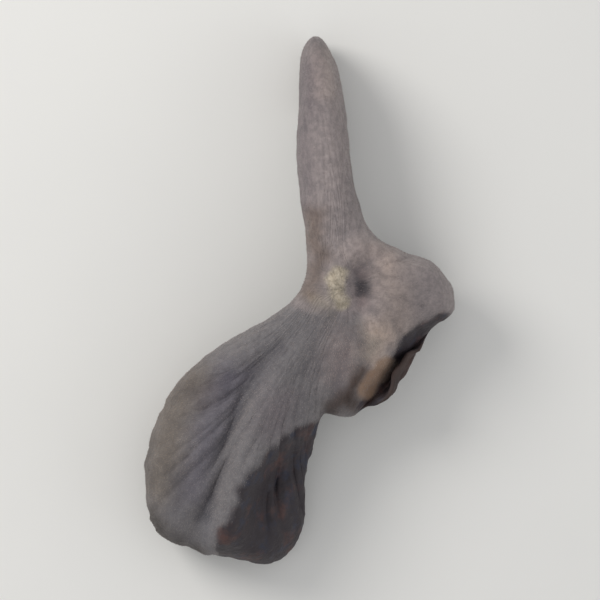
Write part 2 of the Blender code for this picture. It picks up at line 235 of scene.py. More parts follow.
WASHES = [
    # painted highlights, warm and paler: the ridge round the dimple, the wing beside it, and the fold above
    # the curl
    Wash([(1.5, 2.9), (2.6, 3.6), (4.4, 3.2)], 1.1, (1.26, 1.21, 1.16)),
    Wash([(4.6, 1.2), (5.2, -1.0), (5.6, -3.8)], 1.7, (1.24, 1.18, 1.1)),
    Wash([(3.3, -4.2), (3.0, -6.0), (3.2, -6.8)], 1.3, (1.72, 1.6, 1.4)),
    Wash([(-2.0, -1.3), (-1.0, -1.5)], 0.8, (1.3, 1.3, 1.16)),
    # the finger: painted shade along its left side and a painted highlight along its right
    Wash([(-3.0, 8.0), (-3.2, 14.0), (-3.0, 21.0)], 1.0, (0.79, 0.78, 0.81)),
    Wash([(-2.4, 17.5), (-2.6, 23.2)], 0.8, (0.78, 0.78, 0.8)),
    Wash([(-0.4, 9.0), (-0.7, 15.0), (-1.3, 20.5)], 1.0, (1.14, 1.13, 1.12)),
    Wash([(-1.4, 18.5), (-1.6, 22.2)], 0.9, (1.2, 1.17, 1.12)),
    # painted light on the grey middle, from the scar to the apron and the ridge of the ear
    Wash([(0.2, -4.2), (-0.4, -7.0)], 2.2, (1.2, 1.13, 1.1)),
    Wash([(0.6, -6.0), (0.0, -8.8)], 1.7, (1.26, 1.2, 1.18)),
    Wash([(-5.6, -10.8), (-6.6, -13.0)], 1.6, (1.1, 1.04, 1.06)),
    Wash([(-9.8, -11.0), (-10.8, -13.4)], 0.9, (1.2, 1.2, 1.22)),
    # painted shade, dark: the dimple, the groove beside the scar, the valley of the ear, and a painted shadow
    # along the lower margin of the apron
    Wash([(2.0, 1.2), (2.1, -1.2)], 0.9, (0.9, 0.84, 0.84)),
    Wash([(-2.2, 7.0), (-2.1, 4.4), (-1.5, 2.9), (-2.1, 1.0), (-2.7, -0.4)], 1.0, (0.72, 0.66, 0.6)),
    Wash([(-10.4, -8.6), (-12.2, -12.2), (-13.4, -16.4), (-13.9, -19.0)], 1.5, (0.87, 0.87, 0.97)),
    Wash([(-6.0, -6.0), (-7.8, -9.0)], 1.2, (0.88, 0.88, 0.9)),
    Wash([(-8.4, -7.6), (-10.8, -9.0), (-13.2, -10.4)], 1.2, (0.79, 0.78, 0.82)),
    Wash([(-15.3, -18.0), (-15.5, -21.0)], 1.1, (0.8, 0.82, 0.87)),
    Wash([(-12.2, -22.0), (-12.6, -24.2)], 1.0, (0.9, 0.92, 0.96)),
    Wash([(-1.0, -11.2), (0.3, -10.6), (1.4, -11.0), (2.4, -11.1)], 0.9, (0.5, 0.42, 0.38)),
    # painted shade, nearly black: the turned-down lower edge of the ear, and more faintly its left edge
    Wash(
        [(-17.7, -21.6), (-16.9, -23.1), (-16.0, -24.1), (-14.8, -24.9), (-13.4, -25.2)],
        width=1.0,
        tint=(0.3, 0.28, 0.26),
    ),
    Wash([(-17.7, -14.0), (-18.3, -17.0), (-18.3, -20.0)], 0.5, (0.72, 0.72, 0.72)),
    # brown: the round left side of the ear, and the line beside the curl, which is a painted shadow in its
    # gutter
    Wash([(-13.6, -9.2), (-15.6, -12.0), (-16.8, -18.8)], 2.2, (0.86, 0.79, 0.68)),
    Wash([(2.0, -7.6), (1.5, -8.5), (1.0, -9.4), (0.7, -10.4)], 0.6, (0.36, 0.28, 0.24)),
]

# How far noise moves the border of a finish about, and the two distances between which the finish changes
Border = namedtuple("Border", "stray start end")

FLANK_BORDER = Border(stray=0.6, start=-0.25, end=0.3)
PALE_BORDER = Border(stray=1.6, start=-0.7, end=0.8)
LIP_BORDER = Border(stray=0.8, start=1.1, end=1.7)
CURL_BORDER = Border(stray=0.8, start=0.5, end=1.2)
SCAR_BORDER = Border(stray=0.4, start=0.2, end=0.9)
WASH_STRAY = 0.8

# Heights of the fine relief, how far the torn scar reaches, and how much of the pleats the finger lacks
PLEATS = 0.05
FINE_PLEATS = 0.04
PEBBLES = 0.07
GRAIN = 0.03
GROWTH_ZONES = 0.025
TORN_SCAR = 0.22
VEINS = 0.12
LITTLE_VEINS = 0.05
INNER_PEBBLES = 0.04
TORN_REACH = 1.3
FINGER_PLEATS_LOSS = 0.7

# How deep the margin is nibbled, how wide the growth zones are, and how far round a point the sheet is
# averaged to tell a crest from a furrow
NIBBLES = 0.5
ZONE_WIDTH = 2.6
CREST_REACH = 1.7

# How far in from the margin the wall and the relief reach their full height, and the crinkles end
FULL_WALL = 3.5
FULL_RELIEF = 0.6
CRINKLE_REACH = 2.5

# The skin is smoothed, at most this many times, where it has turned this far from its sheet, as a cosine
UNFOLD_ROUNDS = 80
FOLDED_BELOW = 0.6

# A trial sheet of this many rows and columns shows how long the sheet is on its way out. Each of its steps
# counts for this much more, so that no two rows fall together.
TRIAL_ROWS = 201
TRIAL_COLUMNS = 112
EXTRA_STEP = 0.02

OUTER_SLOT, INNER_SLOT, BARE_SLOT = range(3)


# ---------------------------------------------------------------- curves and noise


def rise(value, start, end):
    """0 up to start, 1 from end on, and smooth between them."""
    share = np.clip((value - start) / (end - start), 0, 1)
    return share * share * (3 - 2 * share)


def unit(vectors):
    """The vectors, each made one long."""
    return vectors / np.maximum(np.linalg.norm(vectors, axis=-1, keepdims=True), 1e-9)


def noise_at(points, size=1.0, seed=0.0):
    """Smooth noise from -1 to 1 at each point, in patches of this size. Each seed gives other patches."""
    return np.array([noise.noise(Vector(point)) for point in points / np.array(size) + seed])


def ring_noise(across, out, around, outward, seed=0.0):
    """Noise at each point of the sheet, with how fast it changes round the foot and on the way out."""
    turn = np.tile(2 * np.pi * across, len(out))
    ring = np.column_stack([np.cos(turn), np.sin(turn)]) * around
    return noise_at(np.column_stack([ring, np.repeat(out, len(across)) * outward + seed]))


def ridged(values, sharpness=3):
    """Noise turned into narrow ridges with wide furrows between them."""
    return 1 - sharpness * np.abs(values)


def smooth_path(rows, position, closed):
    """Points at the given positions along the curve that passes through each row in turn."""
    count = len(rows)
    if closed:
        start = np.floor(position).astype(int)
        padded = rows[np.arange(-1, count + 3) % count]
    else:
        start = np.clip(np.floor(position).astype(int), 0, count - 2)
        padded = np.concatenate([[2 * rows[0] - rows[1]], rows, [2 * rows[-1] - rows[-2]]])
    share = (position - start)[:, None]
    a, b, c, d = (padded[start + step] for step in range(4))
    bend = a - 2.5 * b + 2 * c - 0.5 * d
    return b + share * ((c - a) / 2 + share * (bend + share * (1.5 * (b - c) + (d - a) / 2)))


def nearest_on_path(points, path):
    """How far each point is from the path, and where along it the nearest place is, counted in corners."""
    path = np.array(path)
    nearest = np.full(len(points), np.inf)
    place = np.zeros(len(points))
    for number, (start, step) in enumerate(zip(path, np.diff(path, axis=0))):
        share = np.clip((points - start) @ step / (step @ step), 0, 1)
        distance = np.linalg.norm(points - start - share[:, None] * step, axis=1)
        closer = distance < nearest
        nearest[closer] = distance[closer]
        place[closer] = number + share[closer]
    return nearest, place


def inside(points, corners):
    """How far each point is inside the area with these corners, and less than 0 where it is outside."""
    corners = np.array(corners)
    distance, _ = nearest_on_path(points, np.concatenate([corners, corners[:1]]))
    odd = np.zeros(len(points), bool)
    for start, end in zip(corners, np.roll(corners, -1, axis=0)):
        spans = (start[1] > points[:, 1]) != (end[1] > points[:, 1])
        rate = (end[0] - start[0]) / (end[1] - start[1] + 1e-12)
        odd ^= spans & (points[:, 0] < start[0] + (points[:, 1] - start[1]) * rate)
    return np.where(odd, distance, -distance)


def past(distance, stray, border):
    """0 on this side of a border and 1 beyond it, with the border moved about by the stray noise."""
    return rise(distance + border.stray * stray, border.start, border.end)


# ---------------------------------------------------------------- the middle of the sheet


def rib_numbers(across):
    """Which rib, and what share of the way to the next, each place round the outline is at."""
    outline = np.array([(rib.x, rib.y) for rib in RIBS + RIBS[:1]])
    length = np.cumsum([0, *np.linalg.norm(np.diff(outline, axis=0), axis=1)])
    return np.interp(across, length / length[-1], np.arange(len(outline)))


def leaving_directions(numbers):
    """The direction in which each rib leaves the foot: its own, turned some way towards even spacing."""
    own = np.unwrap([np.arctan2(rib.y, rib.x) for rib in RIBS])
    even = np.arange(len(RIBS)) * 2 * np.pi / len(RIBS)
    angle = own + FOOT_EVENNESS * (even - own - (even - own).mean())
    angle = smooth_path(np.append(angle, angle[0] + 2 * np.pi)[:, None], numbers, closed=False)[:, 0]
    return np.column_stack([np.cos(angle), np.sin(angle)])


def spot_height(points):
    """The height of the smooth surface through all the spot heights."""
    spots = np.array(SPOTS)

    def blend(places):
        apart = np.linalg.norm(places[:, None] - spots[None, :, :2], axis=2)
        return np.hypot(apart, SPOT_BLEND)

    weights = np.linalg.solve(blend(spots[:, :2]), spots[:, 2] - spots[:, 2].mean())
    return spots[:, 2].mean() + blend(points) @ weights


def crease_height(points, crease):
    """How far one crease moves each point up or down: most along its path, and less towards its ends."""
    corners = np.array(crease.path)
    path = smooth_path(corners, np.linspace(0, len(corners) - 1, 4 * len(corners)), closed=False)
    distance, place = nearest_on_path(points, path)
    fade = np.sin(np.pi * (0.1 + 0.8 * place / (len(path) - 1)))
    return crease.height * fade * np.exp(-((distance / crease.width) ** 2))


def top_height(points, shoulder, ribs):
    """The height of the sheet inside the shoulder: the top, rounded off towards the shoulder's own height."""
    top = spot_height(points)
    for crease in CREASES:
        top += crease_height(points, crease)
    from_foot = np.linalg.norm(points, axis=1)
    top += FOOT_RISE * (1 - rise(from_foot, FOOT_RADIUS, FOOT_RADIUS + FOOT_FLARE))
    distance, place = nearest_on_path(points, np.concatenate([shoulder, shoulder[:1]]))
    corner = np.arange(len(shoulder) + 1)
    height, turn = (np.interp(place, corner, np.append(field, field[0])) for field in (ribs.z, ribs.turn))
    flat = np.clip(distance / turn, 0, 1)
    return height + (top - height) * np.sqrt(1 - (1 - flat) ** 2)


def bare_sheet(across, out):
    """The middle of the sheet before it wrinkles, in rows from the foot to the margin."""
    numbers = rib_numbers(across)
    ribs = Rib(*smooth_path(np.array(RIBS), numbers, closed=True).T)
    shoulder = np.column_stack([ribs.x, ribs.y])
    base = leaving_directions(numbers) * (FOOT_RADIUS + FOOT_FLARE)
    left = unit(np.column_stack([-ribs.y, ribs.x]))
    along = np.roll(shoulder, -1, axis=0) - np.roll(shoulder, 1, axis=0)
    inward = unit(np.column_stack([-along[:, 1], along[:, 0]]))

    sheet = np.zeros((len(out), len(across), 3))
    for row, place in zip(sheet, out):
        if place <= FOOT_END:
            row[:, :2] = base * place / FOOT_END
        elif place <= SHOULDER:
            share = 1 - ((SHOULDER - place) / (SHOULDER - FOOT_END)) ** 1.5
            bow = left * ribs.bow[:, None] * 4 * share * (1 - share)
            row[:, :2] = base + (shoulder - base) * share + bow
        else:
            share = (place - SHOULDER) / (1 - SHOULDER)
            row[:, :2] = shoulder + inward * ribs.tuck[:, None] * share**2
            row[:, 2] = ribs.z + (ribs.hem - ribs.z) * share
    top = out <= SHOULDER
    height = top_height(sheet[top, :, :2].reshape(-1, 2), shoulder, ribs)
    sheet[top, :, 2] = height.reshape(-1, len(across))
    return sheet


def wrinkle_room(sheet, settings):
    """How much room the wrinkles have: 0 where the ribs crowd together, 1 where they are well apart."""
    across = np.roll(sheet, -1, axis=1) - sheet
    along = np.gradient(sheet, axis=0)
    apart = np.linalg.norm(np.cross(across, along), axis=2) / np.maximum(np.linalg.norm(along, axis=2), 1e-6)
    needed = 2 * np.pi * settings.wrinkle_count * settings.wrinkle_space / MM / sheet.shape[1]
    return np.clip(apart / needed, 0, 1) ** 2


def on_finger(points):
    """How far each point belongs to the finger, from 0 to 1."""
    return rise(points[:, 1], 3, 7)


def wrinkled_sheet(across, out, settings):
    """The middle of the sheet with its wrinkles, puckers and wavy, nibbled margin."""
    sheet = bare_sheet(across, out)
    room = wrinkle_room(sheet, settings).ravel()
    points = sheet.reshape(-1, 3)
    reach = np.maximum(np.linalg.norm(points[:, :2], axis=1), 1)
    away = rise(reach, 3, 8)
    edge = rise(np.repeat(out, len(across)), 0.5, 1) * rise(reach, 4.5, 9.0)
    calm = 1 - FINGER_CALM * on_finger(points)

    wrinkles = ridged(ring_noise(across, out, around=settings.wrinkle_count, outward=1.3))
    waves = ring_noise(across, out, around=4.2, outward=0.5, seed=4.1)
    nibbles = ring_noise(across, out, around=12.0, outward=0.8, seed=9)
    depth = settings.wrinkle_depth / MM * room * calm * wrinkles
    depth += settings.pucker_depth / MM * noise_at(points, size=6.0, seed=3.7)
    points[:, 2] += away * depth + edge * settings.wave_depth / MM * waves
    points[:, :2] *= (1 + edge * NIBBLES * nibbles / reach)[:, None]
    return points.reshape(sheet.shape)


def even_rows(count):
    """Places from the foot to the margin that split the sheet into rows about equally far apart."""
    out = np.linspace(0, 1, TRIAL_ROWS)
    sheet = bare_sheet(np.arange(TRIAL_COLUMNS) / TRIAL_COLUMNS, out)
    steps = np.linalg.norm(np.diff(sheet, axis=0), axis=2)
    length = np.cumsum([0, *(steps.mean(axis=1) + EXTRA_STEP)])
    return np.interp(np.linspace(0, 1, count), length / length[-1], out)


def margin_distance(sheet):
    """How far each point is from the margin, along the sheet."""
    steps = np.linalg.norm(np.diff(sheet, axis=0), axis=2)
    return np.concatenate([np.cumsum(steps[::-1], axis=0)[::-1], np.zeros((1, sheet.shape[1]))])


def grid_normals(rows):
    """The way that a surface faces at each of its points, which are in rows of closed rings."""
    across = np.roll(rows, -1, axis=1) - np.roll(rows, 1, axis=1)
    return unit(np.cross(np.gradient(rows, axis=0), across))


def sheet_normals(sheet):
    """The way that the outer side faces, at each point of the sheet."""
    normals = grid_normals(sheet)
    normals[0] = unit(normals[1].mean(axis=0))
    normals[1] = unit(normals[1] + normals[2])
    return normals


def crinkled_sheet(sheet, margin, settings):
    """The sheet with the small crinkles along its margin."""
    crinkles = noise_at(sheet.reshape(-1, 3), size=1.5, seed=41).reshape(margin.shape)
    depth = settings.crinkle / MM * crinkles * (1 - rise(margin, 0, CRINKLE_REACH))
    return sheet + sheet_normals(sheet) * depth[..., None]


# ---------------------------------------------------------------- the skin round the sheet


def relief(sheet, out, margin):
    """How far the fine relief lifts the outer and the inner side, at each point of the sheet."""
    points = sheet.reshape(-1, 3)
    across = np.arange(sheet.shape[1]) / sheet.shape[1]
    reach = np.linalg.norm(points[:, :2], axis=1)
    near = margin.ravel()

    pleats = ridged(ring_noise(across, out, around=15, outward=2.2, seed=3))
    fine_pleats = ridged(ring_noise(across, out, around=31, outward=3.0, seed=7))
    pebbles = noise_at(points, size=1.1, seed=5)
    grain = noise_at(points, size=0.55, seed=8)
    zones = np.sin(2 * np.pi * near / ZONE_WIDTH + 2.5 * noise_at(points, size=5.0))
    height = 1 - FINGER_PLEATS_LOSS * on_finger(points)
    outer = PLEATS * height * pleats * rise(reach, 5, 10)
    outer += FINE_PLEATS * height * fine_pleats * rise(reach, 10, 16)
    outer += PEBBLES * pebbles + GRAIN * grain + GROWTH_ZONES * zones * rise(near, 0, 3)
    outer += TORN_SCAR * np.exp(-((reach / TORN_REACH) ** 2)) * noise_at(points, size=(0.35, 0.9, 0.5))

    inner = VEINS * ridged(noise_at(points, size=3.0, seed=21), 4)
    inner += LITTLE_VEINS * ridged(noise_at(points, size=1.4, seed=33), 4)
    inner += INNER_PEBBLES * pebbles
    return outer.reshape(margin.shape), inner.reshape(margin.shape)


def unfolded(skin, facing):
    """The closed skin, smoothed wherever it doubles back on itself because the sheet bends too sharply."""
    for _ in range(UNFOLD_ROUNDS):
        folded = np.einsum("ijk,ijk->ij", grid_normals(skin), facing) < FOLDED_BELOW
        folded[[0, -1]] = False
        if not folded.any():
            break
        for step in (1, 2):
            folded |= np.roll(folded, step, axis=1) | np.roll(folded, -step, axis=1)
        folded[1:] |= folded[:-1]
        folded[:-1] |= folded[1:]
        beside = (np.roll(skin, 1, axis=1) + np.roll(skin, -1, axis=1))[1:-1]
        smooth = skin.copy()
        smooth[1:-1] = beside / 4 + (skin[2:] + skin[:-2]) / 4
        skin = np.where(folded[..., None], smooth, skin)
    return skin


def closed_skin(sheet, normals, out, margin, settings):
    """Rings of points from the foot over the outer side, round the margin and back under the inner side."""
    outer_lift, inner_lift = relief(sheet, out, margin)
    full = rise(margin, 0, FULL_WALL)
    half = 0.5 * (settings.margin_wall + (settings.wall - settings.margin_wall) * full) / MM
    calm = rise(margin, 0, FULL_RELIEF)
    outer = sheet + normals * (half + outer_lift * calm)[..., None]
    inner = sheet - normals * (half + inner_lift * calm)[..., None]
    outwards = unit(sheet[-1] - sheet[-2])
    turns = np.linspace(0, np.pi, settings.margin_steps + 2)[1:-1]
    lip_facing = np.array([outwards * np.sin(turn) + normals[-1] * np.cos(turn) for turn in turns])
    lip = sheet[-1] + half[-1][:, None] * lip_facing
    facing = np.concatenate([normals, lip_facing, -normals[::-1]])
    return unfolded(np.concatenate([outer, lip, inner[::-1]]), facing)


def crests(sheet, normals):
    """How far each point stands above the sheet round it: over 0 on a crest and under 0 in a furrow."""
    points = sheet.reshape(-1, 3)
    coarse = sheet[::2, ::2].reshape(-1, 3)
    tree = kdtree.KDTree(len(coarse))
    for number, point in enumerate(coarse):
        tree.insert(point, number)
    tree.balance()
    near = [[found[1] for found in tree.find_range(point, CREST_REACH)] for point in points]
    around = np.array([coarse[numbers].mean(axis=0) for numbers in near])
    return np.einsum("ij,ij->i", points - around, normals.reshape(-1, 3)) / CREST_REACH


def washed(sheet, out, wobble):
    """The tint of the washes at each point, mostly painted light and shade. Below the shoulder it is that of
    the shoulder above.
    """
    above = sheet[:, :, :2].copy()
    above[out > SHOULDER] = above[out <= SHOULDER][-1]
    above = above.reshape(-1, 2)
    tint = np.ones((len(above), 3))
    for wash in WASHES:
        distance = np.maximum(nearest_on_path(above, wash.path)[0] + WASH_STRAY * wobble, 0)
        tint *= 1 + np.exp(-((distance / wash.width) ** 2))[:, None] * (np.array(wash.tint) - 1)
    return tint


def finishes(sheet, normals, out, margin):
    """What the materials and the fibres read at each point of the sheet, by name."""
    points = sheet.reshape(-1, 3)
    flat = points[:, :2]
    low = 1 - rise(points[:, 2], 2, 5)
    wobble = 0.5 * noise_at(np.column_stack([flat / 1.3, np.full(len(flat), 2.0)]))
    ragged = wobble + 2.4 * low * noise_at(points, size=2.2, seed=50)
    lip = 1 - past(nearest_on_path(flat, LIP_PATH)[0], ragged, LIP_BORDER)
    curl = 1 - past(nearest_on_path(flat, CURL_PATH)[0], ragged, CURL_BORDER)
    flank = past(inside(flat, BARE_SHADED_FLANK), ragged, FLANK_BORDER)
    turn = 2 * np.pi * np.arange(sheet.shape[1]) / sheet.shape[1]
    return {
        "margin": margin * MM,
        "crest": crests(sheet, normals),
        # flank: bare skin with painted shade, joined by the lip, which is bare skin with a painted shadow
        "flank": np.maximum(flank, lip * (1 - curl)),
        "curl": curl,
        "scar": 1 - past(nearest_on_path(flat, SCAR_PATH)[0], wobble, SCAR_BORDER),
        "pale": past(inside(flat, PALE), ragged, PALE_BORDER),
        # tint: the washes, mostly painted light and shade
        "tint": washed(sheet, out, wobble),
        "growth": unit(np.gradient(sheet, axis=0)),
        "ring": [np.column_stack([np.cos(turn), np.sin(turn), np.full(len(turn), place)]) for place in out],
    }


def over_skin(field, settings):
    """A field of the sheet, given to every point of the closed skin."""
    rows = np.asarray(field).reshape(settings.rows, settings.columns, -1)
    lip = [rows[-1]] * settings.margin_steps
    return np.concatenate([rows[0][:1], *rows[1:], *lip, *rows[:0:-1], rows[0][:1]])


def skin_faces(settings):
    """The faces between the rings of the closed skin and at its two poles, and the slot of each."""
    columns = settings.columns
    rings = 2 * settings.rows + settings.margin_steps - 2
    outer_rings = settings.rows - 2 + settings.margin_steps // 2
    column = np.arange(columns)
    after = (column + 1) % columns
    faces, slots = [], []
    for ring in range(rings - 1):
        first = 1 + ring * columns
        second = first + columns
        faces += np.column_stack([first + column, second + column, second + after, first + after]).tolist()
        slots += [OUTER_SLOT if ring < outer_rings else INNER_SLOT] * columns
    last = 1 + (rings - 1) * columns
    faces += np.column_stack([np.zeros(columns, int), 1 + column, 1 + after]).tolist()
    faces += np.column_stack([np.full(columns, last + columns), last + after, last + column]).tolist()
    return faces, slots + [OUTER_SLOT] * columns + [INNER_SLOT] * columns


def body_mesh(settings):
    """The closed skin of the fruit body, cut level where it rests, with its finishes as attributes."""
    out = even_rows(settings.rows)
    sheet = wrinkled_sheet(np.arange(settings.columns) / settings.columns, out, settings)
    margin = margin_distance(sheet)
    sheet = crinkled_sheet(sheet, margin, settings)
    normals = sheet_normals(sheet)
    skin = closed_skin(sheet, normals, out, margin, settings)
    points = np.concatenate([skin[0, :1], skin[1:-1].reshape(-1, 3), skin[-1, :1]])
    points = (points - [*MIDDLE, 0]) * MM
    fields = finishes(sheet, normals, out, margin)
    fields = {name: over_skin(field, settings) for name, field in fields.items()}

    faces, slots = skin_faces(settings)
    bare = fields["flank"][:, 0] > 0.5
    for number, face in enumerate(faces):
        if slots[number] == OUTER_SLOT and bare[face].all():
            slots[number] = BARE_SLOT
    mesh = bpy.data.meshes.new("fruit_body_skin")
    mesh.from_pydata(points.tolist(), [], faces)
    mesh.polygons.foreach_set("material_index", slots)
    for name, field in fields.items():
        kind, value = ("FLOAT_VECTOR", "vector") if field.shape[1] == 3 else ("FLOAT", "value")
        mesh.attributes.new(name, kind, "POINT").data.foreach_set(value, field.ravel())
    level_off(mesh)
    mesh.shade_smooth()
    return mesh


def level_off(mesh):
    """Cuts the mesh level where it rests on the surface, closes the cuts and turns all faces outwards."""
    bm = bmesh.new()
    bm.from_mesh(mesh)
    everything = [*bm.verts, *bm.edges, *bm.faces]
    plane = {"plane_co": (0, 0, 0), "plane_no": (0, 0, -1)}
    cut = bmesh.ops.bisect_plane(bm, geom=everything, dist=1e-8, clear_outer=True, **plane)
    edges = [item for item in cut["geom_cut"] if isinstance(item, bmesh.types.BMEdge) and item.is_boundary]
    made = bmesh.ops.triangle_fill(bm, use_beauty=True, use_dissolve=False, edges=edges)
    for face in [item for item in made["geom"] if isinstance(item, bmesh.types.BMFace)]:
        face.material_index = INNER_SLOT
    bmesh.ops.recalc_face_normals(bm, faces=bm.faces)
    if bm.calc_volume(signed=True) < 0:
        bmesh.ops.reverse_faces(bm, faces=bm.faces)
    bm.to_mesh(mesh)
    bm.free()


# ---------------------------------------------------------------- node helpers


def node(tree, kind, inputs=None, **settings):
    """A new node with its settings, and with its inputs set to values or linked to other nodes' outputs."""
    made = tree.nodes.new(kind)
    for name, value in settings.items():
        setattr(made, name, value)
    for key, value in (inputs or {}).items():
        socket = made.inputs[key]
        if isinstance(value, bpy.types.NodeSocket):
            tree.links.new(value, socket)
        else:
            socket.default_value = value
    return made


def mixed(tree, share, first, second, blend_type="MIX"):
    """The first colour, mixed with the second by the share."""
    inputs = {0: share, 6: first, 7: second}
    return node(tree, "ShaderNodeMix", inputs, data_type="RGBA", blend_type=blend_type).outputs[2]


def tinted(tree, colour):
    """The colour, multiplied by the tint of the washes, which is mostly painted light and shade."""
    return mixed(tree, 1.0, colour, attribute(tree, "tint", "Vector"), "MULTIPLY")


def ranged(tree, value, low, high, to_low=0.0, to_high=1.0):
    """The value, moved from one range to another and kept inside it, smoothly."""
    inputs = {"Value": value, "From Min": low, "From Max": high, "To Min": to_low, "To Max": to_high}
    return node(tree, "ShaderNodeMapRange", inputs, interpolation_type="SMOOTHSTEP").outputs[0]


def counted(tree, operation, first, second=0.0):
    return node(tree, "ShaderNodeMath", {0: first, 1: second}, operation=operation).outputs[0]


def times(tree, first, second):
    return counted(tree, "MULTIPLY", first, second)


def plus(tree, first, second):
    return counted(tree, "ADD", first, second)


def minus(tree, first, second):
    return counted(tree, "SUBTRACT", first, second)


def attribute(tree, name, output="Fac"):
    return node(tree, "ShaderNodeAttribute", attribute_name=name).outputs[output]


def object_place(tree):
    return node(tree, "ShaderNodeTexCoord").outputs["Object"]


def noise_texture(tree, vector, scale, detail, roughness=0.5, distortion=0.0):
    """Noise from 0 to 1 over the surface."""
    inputs = {"Vector": vector, "Scale": scale, "Detail": detail}
    inputs.update({"Roughness": roughness, "Distortion": distortion})
    return node(tree, "ShaderNodeTexNoise", inputs).outputs["Fac"]


def bumped(tree, height, distance, strength, normal=None):
    """The surface's normal, bent by the height."""
    inputs = {"Height": height, "Distance": distance, "Strength": strength}
    if normal is not None:
        inputs["Normal"] = normal
    return node(tree, "ShaderNodeBump", inputs).outputs[0]


def solid(colour, share=1.0):
    """The colour for a shader's socket, made darker or lighter by the share."""
    return (*(share * part for part in colour), 1.0)


def new_group(name, inputs, output):
    """A shader node group with one output. inputs gives each input's default, or None for a vector."""
    group = bpy.data.node_groups.new(name, "ShaderNodeTree")
    for label, default in inputs.items():
        kind = "NodeSocketVector" if default is None else "NodeSocketFloat"
        socket = group.interface.new_socket(label, in_out="INPUT", socket_type=kind)
        if default is not None:
            socket.default_value = default
    group.interface.new_socket(output, in_out="OUTPUT", socket_type="NodeSocketFloat")
    return group, group.nodes.new("NodeGroupInput").outputs, group.nodes.new("NodeGroupOutput").inputs


def mottle_group():
    """Uneven patches, as a mask."""
    inputs = {"Vector": None, "Scale": 500.0, "Edge": 0.12, "Amount": 0.5}
    group, given, result = new_group("Mottle", inputs, "Mask")
    patches = noise_texture(group, given["Vector"], given["Scale"], detail=5.0, roughness=0.6)
    border = minus(group, 1.0, given["Amount"])
    low, high = minus(group, border, given["Edge"]), plus(group, border, given["Edge"])
    group.links.new(ranged(group, patches, low, high), result["Mask"])
    return group


def creases_group():
    """Fine dry creases, as a height: thin lines that cross each other over small puckers."""
    inputs = {"Vector": None, "Scale": 900.0, "Sharpness": 3.0}
    group, given, result = new_group("Dry creases", inputs, "Height")
    vector, scale = given["Vector"], given["Scale"]
    wander = noise_texture(group, vector, scale, detail=3.0, roughness=0.55, distortion=0.4)
    from_middle = counted(group, "ABSOLUTE", minus(group, wander, 0.5))
    lines = counted(group, "MINIMUM", times(group, from_middle, given["Sharpness"]), 1.0)
    puckers = noise_texture(group, vector, times(group, scale, 2.3), detail=4.0, roughness=0.65)
    group.links.new(plus(group, lines, times(group, puckers, 0.8)), result["Height"])
    return group


def mask(tree, mottle, vector, scale, edge, amount):
    """The mottle group's patches, which cover this amount of the surface."""
    inputs = {"Vector": vector, "Scale": scale, "Edge": edge, "Amount": amount}
    return node(tree, "ShaderNodeGroup", inputs, node_tree=mottle).outputs["Mask"]


def dry_creases(tree, creases, vector, scale, sharpness):
    """The height of the creases group's lines."""
    inputs = {"Vector": vector, "Scale": scale, "Sharpness": sharpness}
    return node(tree, "ShaderNodeGroup", inputs, node_tree=creases).outputs["Height"]


def new_material(name):
    material = bpy.data.materials.new(name)
    material.use_nodes = True
    return material, material.node_tree, material.node_tree.nodes["Principled BSDF"]


# ---------------------------------------------------------------- materials


def velvet_colour(tree, colours, mottle, spot, specks):
    """Velvet, paler on the crests and darker in the furrows with painted shade, with the tint of the washes,
    which is mostly painted light and shade.
    """
    patches = mask(tree, mottle, spot, scale=330.0, edge=0.16, amount=0.52)
    ring = attribute(tree, "ring", "Vector")
    along = node(tree, "ShaderNodeMapping", {"Vector": ring, "Scale": (1.0, 1.0, 0.25)}).outputs[0]
    streaks = mask(tree, mottle, along, scale=22.0, edge=0.2, amount=0.5)
    # Painted shade: low crest values take the furrow colour, with random patches and streaks on top.
    furrow_shade_and_patches = ranged(tree, attribute(tree, "crest"), -0.34, 0.16)
    for uneven, amount in ((patches, 0.35), (streaks, 0.12)):
        furrow_shade_and_patches = plus(tree, furrow_shade_and_patches, times(tree, minus(tree, uneven, 0.5), amount))
    velvet = mixed(tree, attribute(tree, "pale"), solid(colours.velvet_grey), solid(colours.velvet))
    colour = mixed(tree, ranged(tree, furrow_shade_and_patches, 0.0, 1.1), solid(colours.furrow), velvet)
    return tinted(tree, mixed(tree, times(tree, specks, 0.3), colour, solid(colours.furrow)))


def bare_and_shaded_colour(tree, colours, mottle, spot):
    """Where the velvet is gone, and darkened with painted shade on the steep flank: nearly black, with
    red-brown and blue-black patches.
    """
    red = mask(tree, mottle, spot, scale=420.0, edge=0.12, amount=0.38)
    blue = mask(tree, mottle, spot, scale=610.0, edge=0.1, amount=0.4)
    dark = mixed(tree, blue, solid(colours.flank), solid(colours.flank_blue))
    return mixed(tree, red, dark, solid(colours.flank_red))


